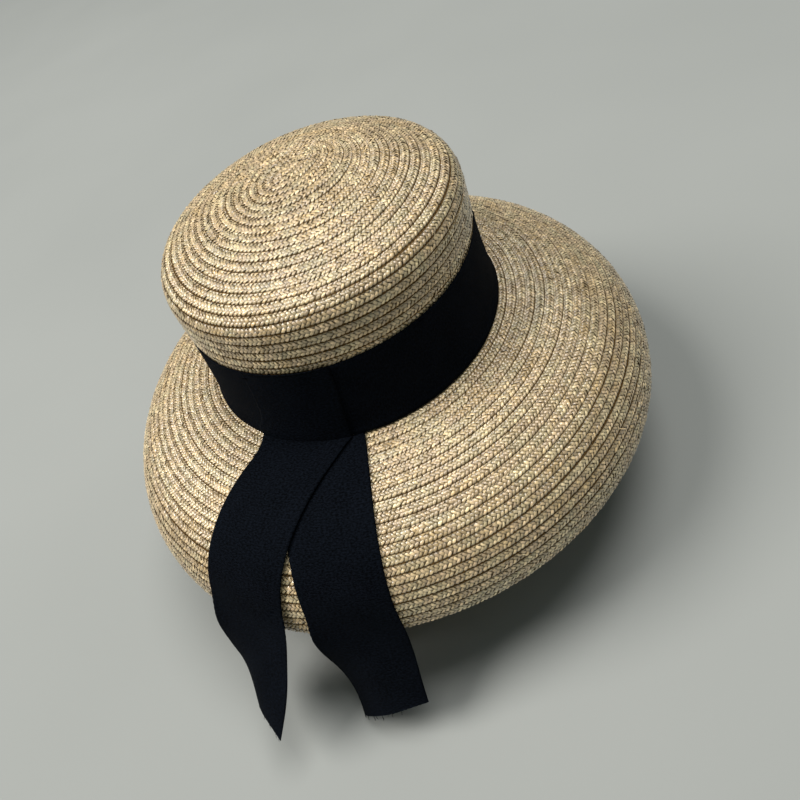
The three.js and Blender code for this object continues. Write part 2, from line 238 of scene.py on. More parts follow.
def on_crown(along, across, length, raised):
    """A place on the crown, given along and across the fold the plait starts with. On the wall,
    length from the tip's centre tells how far down it is."""
    x = along * math.cos(START_ANGLE) - across * math.sin(START_ANGLE)
    y = along * math.sin(START_ANGLE) + across * math.cos(START_ANGLE)
    fade = np.exp(-((length / START_FADE) ** 2))
    x, y = x + START_MIDDLE[0] * fade, y + START_MIDDLE[1] * fade
    reach = np.maximum(np.hypot(x, y), 1e-6)
    on_tip = np.interp(reach, CROWN.radius[:TIP_STEPS], CROWN.length[:TIP_STEPS])
    _, height, out, up = CROWN.at(np.where(length < TIP_LENGTH, on_tip, length))
    grown = 1 + raised * out / reach
    oval = HEAD_OVAL / BASE_RADIUS
    return np.stack(np.broadcast_arrays(
        x * grown * (1 - oval), y * grown * (1 + oval), height + raised * up), -1)


def crown_point(length, angle, raised=0.0):
    """A place on the crown, in a spiral that grows round out of a short straight fold."""
    length = np.maximum(length, 0)
    fold = START_HALF * np.exp(-((length / START_FADE) ** 2))
    radius = CROWN.at(length)[0]
    turned = angle - START_ANGLE
    return on_crown((radius + fold) * np.cos(turned), radius * np.sin(turned), length, raised)


def fold_point(length, angle, raised=0.0):
    """A place on the straight fold: length across it, and pi from its middle to its end."""
    return on_crown(1 + START_REACH * angle / math.pi, length, np.zeros_like(length), raised)


def brim_stretch(angle):
    return 1 + FRONT_LONGER * np.sin(angle)


def brim_point(length, angle, raised=0.0):
    """A place on the brim: length from the crown, as measured at the sides of the hat."""
    stretch = brim_stretch(angle)
    radius, height, out, up = BRIM.at(length)
    beyond = np.clip(length, -PINCH - STRAW, 0)
    reach = BASE_RADIUS + (radius + beyond - BASE_RADIUS) * stretch + raised * out
    return on_oval(reach, angle, height * stretch + raised * up)


def on_brim(length, angle, raised):
    """A place on the brim: true length from the crown, in radians round the hat."""
    return brim_point(np.minimum(length / brim_stretch(angle), BRIM_LENGTH), angle, raised)


# ---- Meshes ----

def make_piece(name, shape, material, body, nodes=(), attributes=()):
    """One object from points (n, 3) in millimetres and quads (m, 4). It rides on a body of the
    frame if one is given, takes a material and stands for some nodes."""
    points, quads = shape
    mesh = bpy.data.meshes.new(name)
    mesh.vertices.add(len(points))
    mesh.vertices.foreach_set("co", (points / 1000 + OPENING).astype(np.float32).ravel())
    mesh.loops.add(quads.size)
    mesh.loops.foreach_set("vertex_index", quads.astype(np.int32).ravel())
    mesh.polygons.add(len(quads))
    mesh.polygons.foreach_set("loop_start", np.arange(0, quads.size, 4, dtype=np.int32))
    mesh.polygons.foreach_set("use_smooth", np.full(len(quads), True))
    for label, values in attributes:
        made = mesh.attributes.new(label, "FLOAT_VECTOR", "POINT")
        made.data.foreach_set("vector", values.astype(np.float32).ravel())
    mesh.update(calc_edges=True)
    mesh.validate()
    mesh.materials.append(material)
    piece = bpy.data.objects.new(name, mesh)
    bpy.context.scene.collection.objects.link(piece)
    if body:
        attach(piece, body)
    if nodes:
        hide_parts(*nodes)
    return piece


def grid_quads(rows, columns, closed_rows=False, closed_columns=False):
    """Quads of a grid of points numbered row by row."""
    i = np.arange(rows if closed_rows else rows - 1)[:, None]
    j = np.arange(columns if closed_columns else columns - 1)[None, :]
    i2, j2 = (i + 1) % rows, (j + 1) % columns
    corners = [i * columns + j, i2 * columns + j, i2 * columns + j2, i * columns + j2]
    return np.stack(np.broadcast_arrays(*corners), -1).reshape(-1, 4)


def tube(path, radius, sides, closed=False):
    """Points and quads of a round tube along a path (n, 3), drawn in to a point at its ends unless
    it is closed; radius may be one number or n."""
    ahead = np.roll(path, -1, 0) - np.roll(path, 1, 0)
    if not closed:
        ahead[0], ahead[-1] = path[1] - path[0], path[-1] - path[-2]
    ahead = unit(ahead)
    side = np.empty_like(path)
    guess = np.cross(ahead[0], (0.3, 0.2, 1.0))
    for i, direction in enumerate(ahead):
        guess = unit(guess - direction * np.dot(guess, direction))
        side[i] = guess
    other = np.cross(ahead, side)
    radius = np.broadcast_to(radius, len(path)).astype(float).copy()
    if not closed:
        radius[0] = radius[-1] = 0.02
    turn = np.linspace(0, 2 * np.pi, sides, endpoint=False)
    ring = side[:, None] * np.cos(turn)[:, None] + other[:, None] * np.sin(turn)[:, None]
    points = path[:, None] + ring * radius[:, None, None]
    return points.reshape(-1, 3), grid_quads(len(path), sides, closed, True)


def joined(parts):
    """Several (points, quads) pairs as one."""
    points, quads, count = [], [], 0
    for part_points, part_quads in parts:
        points.append(part_points)
        quads.append(part_quads + count)
        count += len(part_points)
    return np.concatenate(points), np.concatenate(quads)


# ---- Materials ----

class Nodes:
    """A material's node tree, with short calls for the nodes used here."""

    def __init__(self, name):
        self.material = bpy.data.materials.new(name)
        self.material.use_nodes = True
        self.tree = self.material.node_tree
        self.shader = self.tree.nodes["Principled BSDF"]

    def add(self, kind, inputs=(), **settings):
        node = self.tree.nodes.new(kind)
        for key, value in settings.items():
            setattr(node, key, value)
        for key, value in dict(inputs).items():
            self.feed(node.inputs[key], value)
        return node

    def feed(self, socket, value):
        if isinstance(value, bpy.types.NodeSocket):
            self.tree.links.new(value, socket)
        else:
            socket.default_value = value

    def math(self, operation, *values):
        node = self.add("ShaderNodeMath", dict(enumerate(values)), operation=operation)
        return node.outputs[0]

    def product(self, first, *others):
        for other in others:
            first = self.math("MULTIPLY", first, other)
        return first

    def attribute(self, name):
        return self.add("ShaderNodeAttribute", attribute_name=name)

    def split(self, vector):
        return self.add("ShaderNodeSeparateXYZ", {0: vector}).outputs

    def join(self, x, y, z):
        return self.add("ShaderNodeCombineXYZ", {0: x, 1: y, 2: z}).outputs[0]

    def noise(self, vector, scale, detail=2.0, roughness=0.5):
        inputs = {"Vector": vector, "Scale": scale, "Detail": detail, "Roughness": roughness}
        return self.add("ShaderNodeTexNoise", inputs).outputs["Fac"]

    def ramp(self, factor, stops):
        node = self.add("ShaderNodeValToRGB", {"Fac": factor})
        elements = node.color_ramp.elements
        for place, colour in stops[2:]:
            elements.new(place).color = (*colour, 1)
        for element, (place, colour) in zip(elements, sorted(stops)):
            element.position = place
            element.color = (*colour, 1)
        return node.outputs["Color"]

    def spread(self, value, low, high, to_low, to_high):
        inputs = {"Value": value, 1: low, 2: high, 3: to_low, 4: to_high}
        return self.add("ShaderNodeMapRange", inputs).outputs[0]

    def mix(self, blend, factor, a, b):
        node = self.add("ShaderNodeMix", data_type="RGBA", blend_type=blend)
        for index, value in ((0, factor), (6, a), (7, b)):
            if isinstance(value, tuple):
                value = (*value, 1)
            self.feed(node.inputs[index], value)
        return node.outputs[2]

    def grey(self, value):
        return self.add("ShaderNodeCombineColor", {0: value, 1: value, 2: value}).outputs[0]

    def bump(self, height, strength, distance):
        inputs = {"Height": height, "Strength": strength, "Distance": distance}
        self.feed(self.shader.inputs["Normal"], self.add("ShaderNodeBump", inputs).outputs[0])

    def set(self, **inputs):
        for key, value in inputs.items():
            self.feed(self.shader.inputs[key.replace("_", " ")], value)


# painted seam shadow: the brown that stands for the shade where each row goes under the next
SEAM_SHADOW_BROWN = (0.105, 0.060, 0.021)
STRAW_COLOURS = [
    (0.00, (0.67, 0.48, 0.240)),
    (0.18, (0.72, 0.53, 0.280)),
    (0.36, (0.755, 0.560, 0.340)),
    (0.52, (0.735, 0.560, 0.305)),
    (0.68, (0.80, 0.620, 0.360)),
    (0.84, (0.69, 0.560, 0.310)),
    (1.00, (0.85, 0.685, 0.420)),
]


def straw_material():
    """Split wheat straws: fine lines along each straw, tints in bundles and random tone. Painted shade
    darkens each straw along its sides and where it goes under its neighbours, a painted seam shadow
    lies where each row goes under the next, the brightest straws carry painted glints, and each row
    is paler towards its raised edge, painted light and rubbing there."""
    nodes = Nodes("straw_plait")
    across, along, tint = nodes.split(nodes.attribute("straw").outputs["Vector"])
    depth, lap, bright = nodes.split(nodes.attribute("setting").outputs["Vector"])
    shifted = nodes.join(nodes.math("MULTIPLY", across, 9.0), nodes.math("MULTIPLY", along, 0.5),
                         nodes.math("MULTIPLY", bright, 157.0))
    fibre = nodes.noise(shifted, 1.3, 3.0, 0.6)
    from_edge = nodes.math("ABSOLUTE", nodes.math("SUBTRACT", across, 0.5))
    shade = nodes.product(
        nodes.spread(fibre, 0.3, 0.7, 0.80, 1.14),
        # painted shade along each straw's sides, between it and its neighbours
        nodes.spread(from_edge, 0.34, 0.5, 1.0, 0.55),
        # painted shade where a straw dips under its neighbours, by its depth
        nodes.spread(depth, -0.15, 0.36, 0.22, 1.0),
        nodes.spread(bright, 0.0, 1.0, 0.56, 1.18),
        # painted glints: the brightest straws are lightened further
        nodes.spread(bright, 0.72, 1.0, 1.0, 1.36),
        # painted shade near the lap, lightening towards the row's raised edge, which stands for both
        # light and rubbing there
        nodes.spread(lap, 0.0, 4.5, 0.86, 1.08),
    )
    # painted seam shadow where each row goes under the next, its edge made uneven by the straws'
    # brightness; coat and specular are left out there
    seam = nodes.math("ADD", lap, nodes.math("MULTIPLY", bright, 0.2))
    unshadowed = nodes.spread(seam, 0.0, 0.30, 0.0, 1.0)
    colour = nodes.mix("MULTIPLY", 1.0, nodes.ramp(tint, STRAW_COLOURS), nodes.grey(shade))
    nodes.set(Base_Color=nodes.mix("MIX", unshadowed, SEAM_SHADOW_BROWN, colour),
              Roughness=nodes.spread(bright, 0.0, 1.0, 0.44, 0.24),
              Coat_Weight=unshadowed, Coat_Roughness=0.12,
              Specular_IOR_Level=nodes.math("MULTIPLY", unshadowed, 0.6))
    nodes.bump(fibre, 0.35, 0.0002)
    return nodes.material


def mottled_material(name, scale, stops, roughness, bump=None, detail=(3.0, 0.5), z_scale=1.0,
                     **inputs):
    """A material mottled by one noise, in colour, in relief (strength and depth) and, where
    roughness is a pair, in gloss too."""
    nodes = Nodes(name)
    x, y, z = nodes.split(nodes.add("ShaderNodeTexCoord").outputs["Object"])
    place = nodes.join(x, y, nodes.math("MULTIPLY", z, z_scale))
    mottle = nodes.noise(place, scale, *detail)
    if isinstance(roughness, tuple):
        roughness = nodes.spread(mottle, 0.3, 0.7, *roughness)
    nodes.set(Base_Color=nodes.ramp(mottle, stops), Roughness=roughness, **inputs)
    if bump:
        nodes.bump(mottle, *bump)
    return nodes.material


def woven_material(name, dark, light, pitch, roughness, sheen, slubs=1.0, relief=0.0002, **inputs):
    """Plain-woven cloth: warp and weft at a pitch in millimetres, with slubs and uneven dye."""
    nodes = Nodes(name)
    x, y, _ = nodes.split(nodes.attribute("cloth").outputs["Vector"])
    warp = nodes.math("SINE", nodes.math("MULTIPLY", x, 2 * math.pi / pitch))
    weft = nodes.math("SINE", nodes.math("MULTIPLY", y, 2 * math.pi / pitch))
    slub = nodes.noise(nodes.join(nodes.math("MULTIPLY", x, 0.5), y, 0.0), 1.3, 3.0)
    patch = nodes.noise(nodes.join(x, y, 3.0), 0.06, 2.0)
    uneven = nodes.spread(slub, 0.3, 0.7, -0.2 * slubs, 0.2 * slubs)
    height = nodes.math("ADD", nodes.math("MULTIPLY", nodes.product(warp, weft), 0.5), uneven)
    level = nodes.math("ADD", nodes.spread(height, -0.9, 0.9, 0.0, 0.9),
                       nodes.spread(patch, 0.3, 0.7, 0.0, 0.10))
    nodes.set(Base_Color=nodes.ramp(level, [(0.25, dark), (0.75, light)]),
              Roughness=nodes.spread(slub, 0.3, 0.7, roughness - 0.08, roughness + 0.08),
              Sheen_Weight=sheen, Sheen_Roughness=0.45, **inputs)
    nodes.bump(height, 0.6, relief)
    return nodes.material


def thread_material(name, dark, light, sheen):
    """Thread, cord or thread-wound wire, with fibres too fine to tell apart."""
    return mottled_material(name, 2500.0, [(0.3, dark), (0.7, light)], 0.75, (0.4, 0.0001),
                            Sheen_Weight=sheen, Specular_IOR_Level=sheen)


SHADED_BEHIND_COLOURS = [(0.35, (0.20, 0.13, 0.05)), (0.65, (0.36, 0.25, 0.115))]
BEECH_COLOURS = [(0.3, (0.24, 0.12, 0.045)), (0.5, (0.46, 0.27, 0.12)), (0.75, (0.60, 0.39, 0.19))]
STEEL_COLOURS = [(0.3, (0.36, 0.36, 0.35)), (0.7, (0.55, 0.55, 0.54))]
FLOOR_COLOURS = [(0.2, (0.305, 0.32, 0.308)), (0.8, (0.335, 0.35, 0.337))]
straw = straw_material()
# The straws that lie behind the ones that show are seen only in the gaps, painted dark as shade
behind = mottled_material("straw_behind_shaded", 700.0, SHADED_BEHIND_COLOURS, 0.7, (0.5, 0.0004), (2.0, 0.5))
ribbon = woven_material("ribbon", (0.0002, 0.0004, 0.0009), (0.0052, 0.0074, 0.0120), 0.55, 0.85,
                        0.0, slubs=3.2, Specular_IOR_Level=0.03)
cotton = woven_material("cotton", (0.42, 0.36, 0.26), (0.68, 0.61, 0.48), 0.7, 0.85, 0.3)
label_cloth = woven_material("label_cloth", (0.60, 0.57, 0.50), (0.80, 0.77, 0.70), 0.35, 0.6, 0.2,
                             relief=0.0001)
black_thread = thread_material("thread", (0.001, 0.001, 0.0015), (0.004, 0.004, 0.005), 0.0)
pale_thread = thread_material("pale_thread", (0.45, 0.36, 0.22), (0.72, 0.62, 0.45), 0.3)
beech = mottled_material("bead_wood", 2600.0, BEECH_COLOURS, 0.38, (0.15, 0.0001), (4.0, 0.6), 0.12,
                         Coat_Weight=0.6, Coat_Roughness=0.12)
steel = mottled_material("joiner_steel", 3000.0, STEEL_COLOURS, (0.25, 0.45), (0.1, 0.0001),
                         Metallic=1.0)
pale_floor = mottled_material("pale_floor", 3.0, FLOOR_COLOURS, 0.9, detail=(2.0, 0.5))


# ---- Straw plait ----

class Plait:
    """A plait sewn on a surface in a spiral. Turn t is at angle 2 pi t from start_angle, with its
    middle at middle(t) from the surface's inner end. Its inner edge may be tucked under the turn
    before. Past the turn called steep, where the surface stands upright, the painted seam shadow
    is wider."""

    def __init__(self, point, middle, first, last, start_angle, steep=99.0, tucked=True):
        self.point, self.start_angle, self.tucked, self.steep = point, start_angle, tucked, steep
        self.plain_middle, self.first, self.last = middle, first, last
        self.wander = rng.normal(0, WANDER, int((last - first) * 9) + 2)
        self.turn = np.linspace(first, last, int((last - first) * 360))
        places = point(np.maximum(self.middle(self.turn), 0.5), self.angle(self.turn))
        steps = np.linalg.norm(np.diff(places, axis=0), axis=1)
        self.distance = np.concatenate([[0], np.cumsum(steps)])
        self.count = int(self.distance[-1] / CELL)
        self.tints, self.bundles = rng.random((2, self.count + 2))
        self.strands = rng.random((2, self.count + 8))

    def angle(self, turn):
        return self.start_angle + 2 * np.pi * turn

    def middle(self, turn):
        place = (turn - self.first) / (self.last - self.first) * (len(self.wander) - 1)
        smooth = np.interp(place, np.arange(len(self.wander)), self.wander)
        waves = 0.30 * np.sin(3 * self.angle(turn) + 0.5 * turn) + 0.22 * np.sin(5 * self.angle(turn))
        return self.plain_middle(turn) + smooth + waves * smoothstep(turn, 2, 8)

    def turn_at(self, distance):
        return np.interp(distance, self.distance, self.turn)

    def straw_at(self, turn):
        """Number of the straw that is sewn down at a turn."""
        return round(float(np.interp(turn, self.turn, self.distance)) / CELL)

    def height(self, across):
        """Height of the plait's body across its width."""
        low = ROW_LOW if self.tucked else ROW_HIGH
        rounded = ROLL * smoothstep(np.abs(across), PLAIT / 2 - 1.5, PLAIT / 2 + 0.3)
        return low + (ROW_HIGH - low) * (across / PLAIT + 0.5) - rounded


def drift(values, distance, length):
    """A value from 0 to 1 that changes along the plait, over about this length."""
    return np.interp(distance / length, np.arange(len(values)), values)


def straws(plait, number, zone, along, across, under=False):
    """The numbered straws that show in one zone along the plait, woven over and under those of the
    zones beside it. Each is an arched patch at 45 degrees to the plait that dips under its
    neighbours at both ends. Returns points, quads, each straw's own measures (across it, along it,
    tint) and its setting (depth, lap, brightness)."""
    number = number[:, None, None]
    shape = number.shape
    lean = 1 if zone % 2 == 0 else -1
    reach = along[None, :, None] * ZONE * math.sqrt(2) * STRAW_OVERLAP
    width = STRAW_WIDTH * (STRAW_FILL + rng.normal(0, UNEVEN["width"], shape))
    aside = across[None, None, :] * width
    turned = lean * math.pi / 4 + rng.normal(0, UNEVEN["turn"], shape)
    start = CELL * (number + 0.5 + 0.5 * (zone % 2))
    distance = (start + rng.normal(0, UNEVEN["along"], shape)
                + reach * np.cos(turned) - aside * np.sin(turned))
    out = (zone * ZONE + rng.normal(0, UNEVEN["out"], shape)
           + reach * np.sin(turned) + aside * np.cos(turned))
    past = np.maximum(np.abs(out) - FOLD, 0)
    out = np.sign(out) * (np.minimum(np.abs(out), FOLD) + 0.22 * past)
    turn = plait.turn_at(distance)
    arch = ARCH * np.cos(np.pi * along[None, :, None] * 0.98) - 0.16
    rounded = ROUND_BACK * (1 - (2 * across[None, None, :]) ** 2)
    tipped = across[None, None, :] * rng.normal(0, UNEVEN["tip"], shape)
    depth = arch + rounded + tipped
    relief = depth - 0.45 * past + rng.normal(0, UNEVEN["height"], shape)
    raised = plait.height(out) + (-0.5 - 0.6 * relief if under else relief)
    points = plait.point(plait.middle(turn) + out, plait.angle(turn), raised)
    quads = grid_quads(len(along), len(across))
    if not under:
        quads = quads[:, ::-1]
    first = np.arange(len(number))[:, None, None] * (len(along) * len(across))
    strand = np.round(start / CELL - lean * zone * ZONE / CELL).astype(int) + 3
    own_tint = plait.strands[(lean + 1) // 2][strand]
    tint = drift(plait.tints, distance, TINT_LENGTH) + 0.28 * (own_tint - 0.5)
    # lap: distance from where the row comes out from under its neighbour, which the material turns
    # into painted seam shadow and painted shade; rows not tucked get none
    lap = PLAIT / 2 + (-out if under else out) - LAP + (0 if plait.tucked else PLAIT)
    # the painted seam shadow is made wider where the surface is steep
    lap = lap - SEAM_SHADOW_WIDENING * smoothstep(turn, plait.steep, plait.steep + 4)
    own = [across[None, None, :] + 0.5, reach + distance * 0.2, tint]
    # random tone of each straw and its bundle; the material also turns the highest values into painted
    # glints
    bright = 0.8 * rng.random(shape) + 0.2 * drift(plait.bundles, distance, BUNDLE_LENGTH)
    # setting carries depth and lap for painted shade and the painted seam shadow, and bright for
    # random tone and painted glints
    setting = [depth, lap, bright]
    own = np.stack(np.broadcast_arrays(*own), -1)
    setting = np.stack(np.broadcast_arrays(*setting), -1)
    return (points.reshape(-1, 3), (quads[None] + first).reshape(-1, 4),
            own.reshape(-1, 3), setting.reshape(-1, 3))


FINE_ALONG = np.array([-0.5, -0.28, 0.0, 0.28, 0.5])
FINE_ACROSS = np.array([-0.5, -0.25, 0.25, 0.5])
COARSE = np.array([-0.5, 0.0, 0.5])


def add_plait(name, plait, number, node, under=False):
    """One object for the straws of a stretch, seen from above or from under the hat."""
    along, across = (COARSE, COARSE) if under else (FINE_ALONG, FINE_ACROSS)
    zones = [straws(plait, number, zone, along, across, under) for zone in ZONES]
    own, setting = (np.concatenate([zone[i] for zone in zones]) for i in (2, 3))
    make_piece(name, joined([zone[:2] for zone in zones]), straw, "hat", [node],
               [("straw", own), ("setting", setting)])


def add_backing(name, plait, number, node):
    """The flat body of the plait behind the straws that show: a thin closed strip, painted dark as
    shade.
    """
    across = np.array([-0.5, 0.0, 0.5, 0.5, 0.0, -0.5]) * (PLAIT - 0.7)
    depth = np.array([-0.22, -0.10, -0.22, -0.55, -0.62, -0.55])
    number = np.append(number, number[-1] + 1)
    turn = plait.turn_at(number * CELL)[:, None]
    points = plait.point(plait.middle(turn) + across, plait.angle(turn), plait.height(across) + depth)
    quads = grid_quads(len(number), len(across), False, True)
    make_piece(name, (points.reshape(-1, 3), quads), behind, "hat", [node])


def add_rows(name, plait, first, last, node, shown=True):
    """The plait from one turn to another: its body, its inside and the straws on its outside."""
    number = np.arange(plait.straw_at(first), min(plait.straw_at(last), plait.count))
    add_backing(f"{name}_backing", plait, number, node)
    add_plait(f"{name}_inside", plait, number, node, under=True)
    if shown:
        add_plait(f"{name}_plait", plait, number, node)


def add_loose_ends(name, plait, first, last, count):
    """Ends of straws that have sprung out of the plait, except under the tails."""
    points, own, setting = [], [], []
    turns = rng.uniform(first, last, count)
    degrees = np.degrees(plait.angle(turns)) % 360
    turns = turns[(degrees < TAILS_FROM) | (degrees > TAILS_TO)]
    share = np.array([0.0, 0.35, 0.7, 1.0])[:, None]
    for turn in turns:
        length, width, lift = rng.uniform(1.8, 4.2), rng.uniform(0.25, 0.7), rng.uniform(0.5, 1.7)
        lean = rng.choice([-1, 1]) * rng.uniform(0.4, 1.1)
        side = np.array([-0.5, 0.5])[None, :] * width * (1 - 0.7 * share)
        distance = float(np.interp(turn, plait.turn, plait.distance)) + share * length * math.cos(lean)
        out = rng.uniform(-1.5, 3.2) + share * length * math.sin(lean) + side * math.cos(lean)
        turned = plait.turn_at(distance - side * math.sin(lean))
        raised = plait.height(out) + 0.35 + lift * share**1.5
        points.append(plait.point(plait.middle(turned) + out, plait.angle(turned), raised))
        own.append(np.broadcast_arrays(side / width + 0.5, share * length, rng.random()))
        setting.append(np.broadcast_arrays(0.4, 3.0, np.full(side.shape, rng.uniform(0.3, 1.0))))
    quads = grid_quads(4, 2)[None] + 8 * np.arange(len(turns))[:, None, None]
    own, setting = (np.stack([np.stack(one, -1) for one in each]).reshape(-1, 3)
                    for each in (own, setting))
    shape = np.concatenate([place.reshape(-1, 3) for place in points]), quads.reshape(-1, 4)
    make_piece(name, shape, straw, "hat", (), [("straw", own), ("setting", setting)])


def crown_turn(z):
    """The turn that ends at a height on the crown wall."""
    return (float(np.interp(-z, -CROWN.height, CROWN.length)) - ROW / 2) / ROW


def add_straw():
    """The crown's plait runs from the tip's centre to behind the sweatband, and the brim's from
    under the crown wall to the edge, where the last turn slides under the one before it."""
    fold = Plait(fold_point, np.zeros_like, -0.5, 0.5, 0.0, tucked=False)
    add_rows("crown_start", fold, -0.5, 0.5, "straw_crown")
    last = crown_turn(LAST_ROW)
    spiral = Plait(crown_point, lambda turn: ROW * (turn + 0.15), 0.0, last, START_ANGLE,
                   CROWN_STEEP)
    add_rows("crown_tip", spiral, 0.0, TIP_TURNS, "straw_crown")
    add_rows("crown_wall", spiral, TIP_TURNS, crown_turn(FIRST_HIDDEN), "straw_crown")
    add_rows("crown_base", spiral, crown_turn(FIRST_HIDDEN), last, "straw_crown", shown=False)
    add_loose_ends("crown_loose_ends", spiral, 1.0, crown_turn(RIBBON_TOP + 2), CROWN_LOOSE_ENDS)
    edge = BRIM_LENGTH - PLAIT / 2
    first, last = -0.9, edge / ROW + 0.9
    spiral = Plait(brim_point, lambda turn: np.minimum(ROW * (turn + 0.1), edge), first, last,
                   BRIM_PLAIT_START, BRIM_STEEP)
    turns = [first, *(last * share for share in BRIM_CUTS)]
    for number, (first, last) in enumerate(zip(turns, turns[1:]), 1):
        add_rows(f"brim_{number}", spiral, first, last, "straw_brim")
    add_loose_ends("brim_loose_ends", spiral, 0.3, spiral.last - 0.3, BRIM_LOOSE_ENDS)


# ---- Ribbon ----

def place_and_normal(surface, across, along):
    small = 0.05
    place = surface(across, along)
    right = surface(across + small, along) - place
    onward = surface(across, along + small) - place
    return place, unit(np.cross(right, onward))


def cloth_sheet(surface, width, start, end, columns, rows, thickness, caps=(True, True)):
    """A ribbon with rounded selvedges. surface(across, along) gives its middle; start and end give
    its limits along for each place across. Returns points, quads and the place in the weave."""
    across = (np.linspace(-0.5, 0.5, columns) * width)[None, :]
    share = np.linspace(0, 1, rows)[:, None]
    begin = np.broadcast_to(start(across), across.shape)
    finish = np.broadcast_to(end(across), across.shape)
    along = begin + (finish - begin) * share
    across = np.broadcast_to(across, along.shape)
    middle, normal = place_and_normal(surface, across, along)
    from_edge = width / 2 - np.abs(across)
    rib = 0.35 * np.exp(-((from_edge - 0.9) / 0.5) ** 2)
    half = thickness / 2 * (np.sqrt(np.clip(from_edge / 0.5, 0.04, 1)) + rib)
    half = np.minimum(half, thickness * 0.7)[..., None]
    upper, lower = middle + normal * half, middle - normal * half
    loop = np.concatenate([upper, lower[:, ::-1]], axis=1)
    weave = np.stack([across, along, np.zeros_like(along)], -1)
    weave = np.concatenate([weave, weave[:, ::-1]], axis=1)
    count = loop.shape[1]
    quads = grid_quads(rows, count, False, True)[:, ::-1]
    cap = np.arange(columns - 1)
    first_cap = np.stack([cap, cap + 1, count - 2 - cap, count - 1 - cap], -1)
    last_cap = (first_cap + (rows - 1) * count)[:, ::-1]
    ends = [end_quads for end_quads, wanted in zip((first_cap, last_cap), caps) if wanted]
    return loop.reshape(-1, 3), np.concatenate([quads, *ends]), weave.reshape(-1, 3)


def add_cloth(name, sheet, material, slot, body, *nodes):
    *shape, weave = sheet
    return make_piece(name, shape, material, body, nodes, [("cloth", weave)])


def level(value):
    """A limit along a ribbon that is the same all the way across."""
    return lambda across: np.full(np.shape(across), float(value))


def tail_frame(tail, along):
    """Middle line of a tail past the brim, and the direction across it."""
    leaves = tail["leaves"]
    middle = np.radians(tail["angle"] + tail["drift"] * math.exp(-leaves / tail["drift_length"]))
    base = on_brim(leaves, middle, tail["raised"] + CLOTH / 2)
    out = np.array([math.cos(middle), math.sin(middle), 0.0])
    side = np.array([out[1], -out[0], 0.0])
    down = np.array([0.0, 0.0, -1.0])
    length = np.maximum(along - leaves, 0)[..., None]
    full = (tail["left_end"] + tail["right_end"]) / 2 - leaves
    bending = math.radians(tail["curl"]) / full
    first, sweep = math.radians(tail["tilt"]), math.radians(tail["sweep"])
    last = first + bending * length
    outward = (math.cos(first) - np.cos(last)) / bending
    downward = (np.sin(last) - math.sin(first)) / bending
    place = (base + out * outward * math.cos(sweep) + down * downward * math.cos(sweep)
             - side * length * math.sin(sweep))
    heading = (down * np.cos(last) + out * np.sin(last)) * math.cos(sweep) - side * math.sin(sweep)
    square = unit(side - heading * (heading @ side)[..., None])
    twist = math.radians(tail["twist"]) * np.maximum(along - tail["bend"], 0)[..., None] / full
    across = square * np.cos(twist) + np.cross(heading, square) * np.sin(twist)
    return place, across


def tail_surface(tail):
    """The middle of a tail's cloth. across counts to the left as seen from behind the hat."""
    def surface(across, along):
        lying = np.minimum(along, tail["leaves"])
        middle = np.radians(tail["angle"] + tail["drift"] * np.exp(-lying / tail["drift_length"]))
        raised = tail["raised"] + CLOTH / 2
        base = on_brim(lying, middle, raised)
        radius = np.hypot(base[..., 0], base[..., 1])
        on_top = on_brim(lying, middle - across / radius, raised)
        place, sideways = tail_frame(tail, along)
        hanging = place + sideways * across[..., None]
        return np.where((along > tail["leaves"])[..., None], hanging, on_top)
    return surface


def eased(surface, after):
    """The surface averaged over a short length along the ribbon, so that it has no sharp fold."""
    steps = np.linspace(-1, 1, 7)
    weights = (1 - steps**2 * 0.8) / (1 - steps**2 * 0.8).sum()

    def smooth(across, along):
        window = 9.0 * smoothstep(along, after, after + 20)
        return sum(w * surface(across, along + window * s) for w, s in zip(weights, steps))
    return smooth


def with_ripple(surface, ripple):
    """The surface moved along its normal by ripple(across, along)."""
    def moved(across, along):
        place, normal = place_and_normal(surface, across, along)
        return place + normal * ripple(across, along)[..., None]
    return moved


LIFTED_AT, LIFTED_REACH = 258.5, 17.0  # the right tail lies under the band here, in degrees


def add_hat_band():
    """The band, whose lower edge spreads over the brim and is lifted by the right tail."""
    def surface(across, along):
        z = RIBBON_BOTTOM + RIBBON / 2 - 0.5 + across
        angle = along / BASE_RADIUS
        from_tail = (np.degrees(angle) - LIFTED_AT) / LIFTED_REACH
        low = np.exp(-np.maximum(z, 0) / 2.6)
        lifted = 1.3 * low / (1 + from_tail**12)
        loose = 0.16 * np.sin(7 * angle + 1.0) + 0.10 * np.sin(17 * angle + z * 0.06)
        radius = wall_radius(z) - CLOTH / 2 + loose * 0.6 + 1.9 * low
        return on_oval(radius, angle, z + lifted)
    around = 2 * math.pi * BASE_RADIUS
    sheet = cloth_sheet(surface, RIBBON - 1, level(0), level(around), 25, 361, 0.55)
    add_cloth("band", sheet, ribbon, "ribbon", "hat", "hat_band")


def wrap_surface(across, along):
    """The band's end over the band: along counts down from the band's top edge to the brim."""
    z = RIBBON_TOP - 0.5 - along
    slide = 2.2 * smoothstep(z, 4, 46)
    radius = wall_radius(z) + GAP + CLOTH / 2 + 1.2 * np.exp(-np.clip(z, 0, 50) / 9.0)
    return on_oval(radius, np.radians(WRAP_ANGLE + slide) - across / radius, z)


TAIL_WIDTH = 51.5  # the ribbon lies flat in the tails, and a little stretched round the crown
RIGHT_START = 0.3  # the right tail comes out from under the band
LEFT_ASIDE, RIGHT_ASIDE = -3.4, 1.5  # the ribbon's middle lies this far beside the tail's line
TAIL_CLOTH = 0.6  # thickness
FRAYED_THREADS = 16
LEFT_JOIN, RIGHT_JOIN = 60.0, 86.0  # lengths from the crown where two pieces of a tail meet
FALL = RIBBON_TOP - 0.5  # the wrap's length down to the level of the brim


